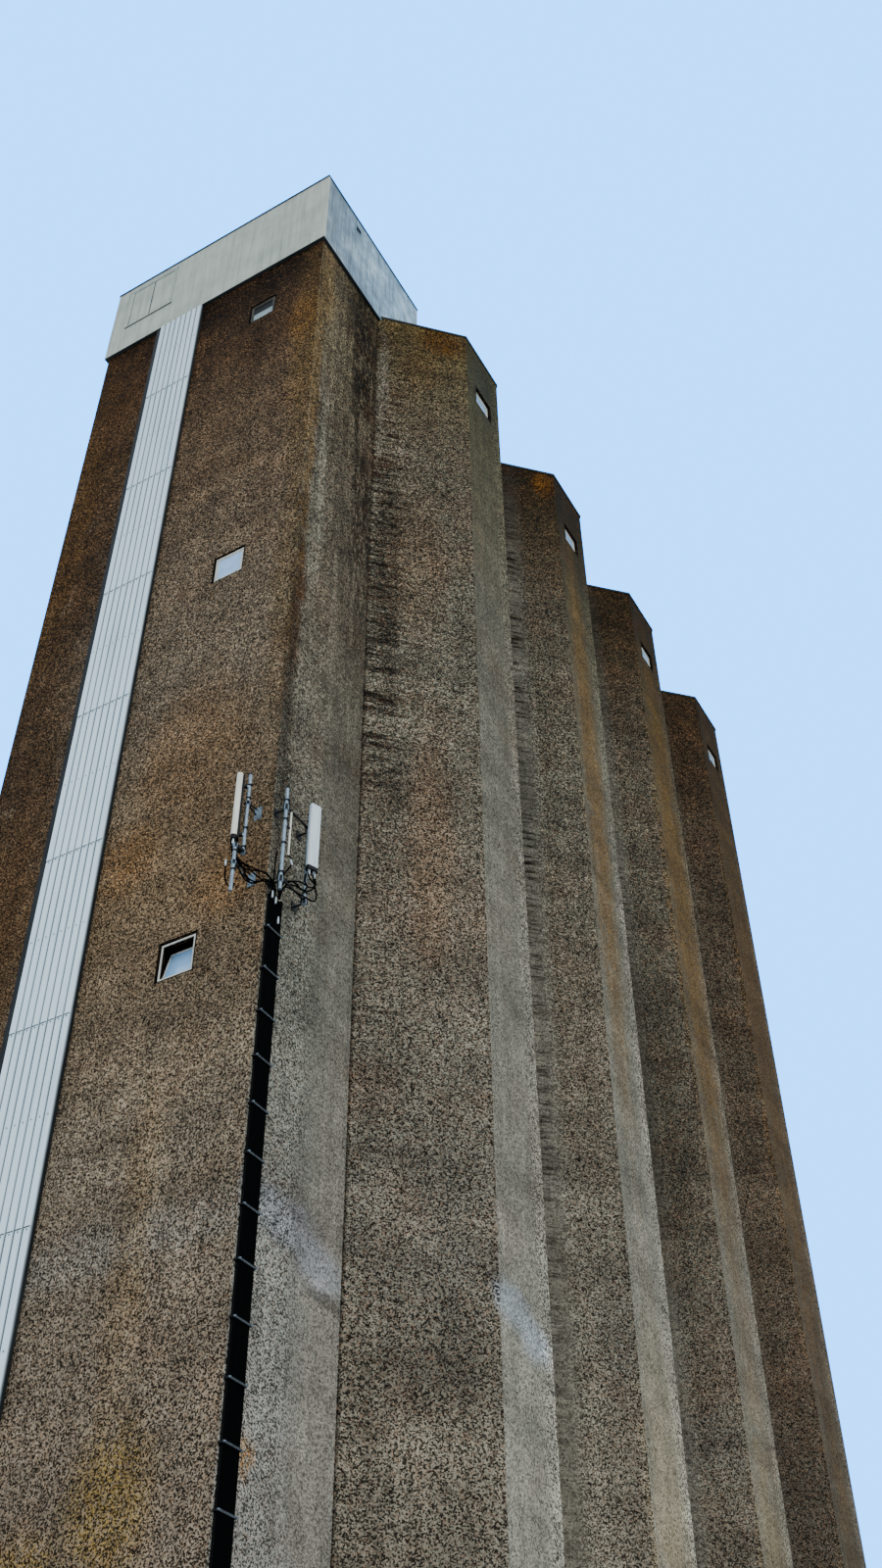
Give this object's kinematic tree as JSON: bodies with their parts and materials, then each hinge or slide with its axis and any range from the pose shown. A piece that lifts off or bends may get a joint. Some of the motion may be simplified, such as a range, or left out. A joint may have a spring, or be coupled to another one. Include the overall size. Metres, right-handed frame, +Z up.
{
  "type": "concrete grain silo with lift tower, scale model at 1:2",
  "caption": "Concrete grain silo: a folded shell of bays, a lift tower with a metal-clad penthouse, a ribbed duct cover and corner aerials; scale model at 1:2.",
  "frame": {"origin": "centre of the flat underside of the base slab", "axes": "+Z up; -X towards the tower end face; -Y towards the long side that the picture shows"},
  "size_m": [14.547, 6.33, 25.455],
  "materials": {
    "brown_concrete": "weathered exposed aggregate",
    "floor_concrete": "plain cast",
    "painted_cladding": "weathered pale coating",
    "dark_flashing": "matt dark coating",
    "white_sheet": "pale coated profiled sheet",
    "window_unit": "white frame with a glass pane",
    "galvanised_steel": "dull zinc",
    "aerial_shell": "cream moulded shell",
    "cable_sheath": "black sheath"
  },
  "bodies": {
    "root": {"base_slab": "floor_concrete", "roof_slab": "floor_concrete", "gallery_floor": "floor_concrete", "tower_floor_1": "floor_concrete", "tower_floor_2": "floor_concrete", "tower_floor_3": "floor_concrete", "tower_floor_4": "floor_concrete", "tower_end_wall": "brown_concrete", "tower_right_wall": "brown_concrete", "tower_left_wall": "brown_concrete", "far_end_wall": "brown_concrete", "right_bay_wall_1": "brown_concrete", "right_bay_wall_2": "brown_concrete", "right_bay_wall_3": "brown_concrete", "right_bay_wall_4": "brown_concrete", "left_bay_wall_1": "brown_concrete", "left_bay_wall_2": "brown_concrete", "left_bay_wall_3": "brown_concrete", "left_bay_wall_4": "brown_concrete", "tower_window_1": "window_unit", "tower_window_2": "window_unit", "tower_window_3": "window_unit", "tower_window_3_sash": "window_unit", "tower_window_4": "window_unit", "right_bay_window_1": "window_unit", "right_bay_window_2": "window_unit", "right_bay_window_3": "window_unit", "right_bay_window_4": "window_unit", "left_bay_window_1": "window_unit", "left_bay_window_2": "window_unit", "left_bay_window_3": "window_unit", "left_bay_window_4": "window_unit", "penthouse_end_wall": "painted_cladding", "penthouse_right_wall": "painted_cladding", "penthouse_left_wall": "painted_cladding", "penthouse_back_wall": "painted_cladding", "penthouse_roof": "painted_cladding", "penthouse_roof_trim": "dark_flashing", "penthouse_drip_flashing": "dark_flashing", "roof_coping": "dark_flashing", "hatch_frame": "painted_cladding", "hatch_leaf_right": "painted_cladding", "hatch_leaf_left": "painted_cladding", "duct_cover_sheets": "white_sheet", "duct_cover_rails": "dark_flashing", "left_panel_aerial": "aerial_shell", "right_panel_aerial": "aerial_shell", "rod_aerial": "aerial_shell", "left_aerial_support": "galvanised_steel", "right_aerial_support": "galvanised_steel", "cable_ladder": "galvanised_steel", "feeder_cables": "cable_sheath", "left_jumper_1": "cable_sheath", "left_jumper_2": "cable_sheath", "right_jumper_1": "cable_sheath", "right_jumper_2": "cable_sheath"}
  },
  "joints": []
}
